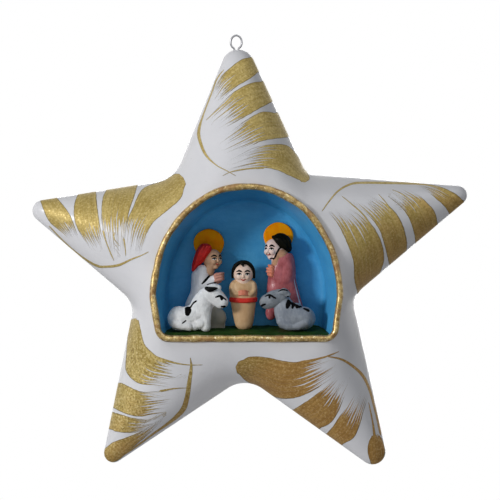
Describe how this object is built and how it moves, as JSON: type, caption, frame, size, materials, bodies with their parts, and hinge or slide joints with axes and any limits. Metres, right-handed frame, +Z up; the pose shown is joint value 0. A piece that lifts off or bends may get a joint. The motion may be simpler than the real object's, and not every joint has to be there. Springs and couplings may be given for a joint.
{
  "type": "ceramic star ornament",
  "caption": "Hollow five-point clay star with an arched niche that holds a small painted nativity scene, hung from a wire eye.",
  "frame": {"origin": "top of the inside of the wire eye, where a hook or thread carries the star", "axes": "+Z up, -Y out of the front where the niche opens, +X to the right as seen from the front"},
  "size_m": [0.1098, 0.0256, 0.1089],
  "materials": {
    "white_glaze": "glossy hand-painted white with gold brush strokes",
    "niche_blue": "satin blue paint",
    "rim_gold": "metallic gold paint",
    "ground_green": "matt dark green paint",
    "steel_wire": "bright drawn wire",
    "halo_orange": "orange paint",
    "robe_white": "grey-white paint with black lines",
    "skin_tan": "skin-coloured paint",
    "veil_red": "red paint",
    "robe_mauve": "mauve paint",
    "hair_black": "black paint",
    "wrap_tan": "tan paint",
    "sash_red": "red paint",
    "ox_white": "white paint with black patches",
    "ear_black": "black paint",
    "donkey_grey": "grey paint with dark strokes"
  },
  "bodies": {
    "root": {"star_front_shell": "white_glaze", "star_back_shell": "white_glaze", "niche_cup": "niche_blue", "niche_rim": "rim_gold", "niche_ground": "ground_green", "hanging_eye": "steel_wire", "woman_robe": "robe_white", "woman_head": "skin_tan", "woman_veil": "veil_red", "woman_hands": "skin_tan", "woman_halo": "halo_orange", "man_robe": "robe_mauve", "man_head": "skin_tan", "man_hair": "hair_black", "man_hands": "skin_tan", "man_halo": "halo_orange", "infant_body": "wrap_tan", "infant_head": "skin_tan", "infant_hair": "hair_black", "infant_hands": "skin_tan", "infant_sash": "sash_red", "ox_body": "ox_white", "ox_head": "ox_white", "ox_ear": "ear_black", "donkey_body": "donkey_grey", "donkey_head": "donkey_grey", "donkey_ear": "donkey_grey"}
  },
  "joints": []
}
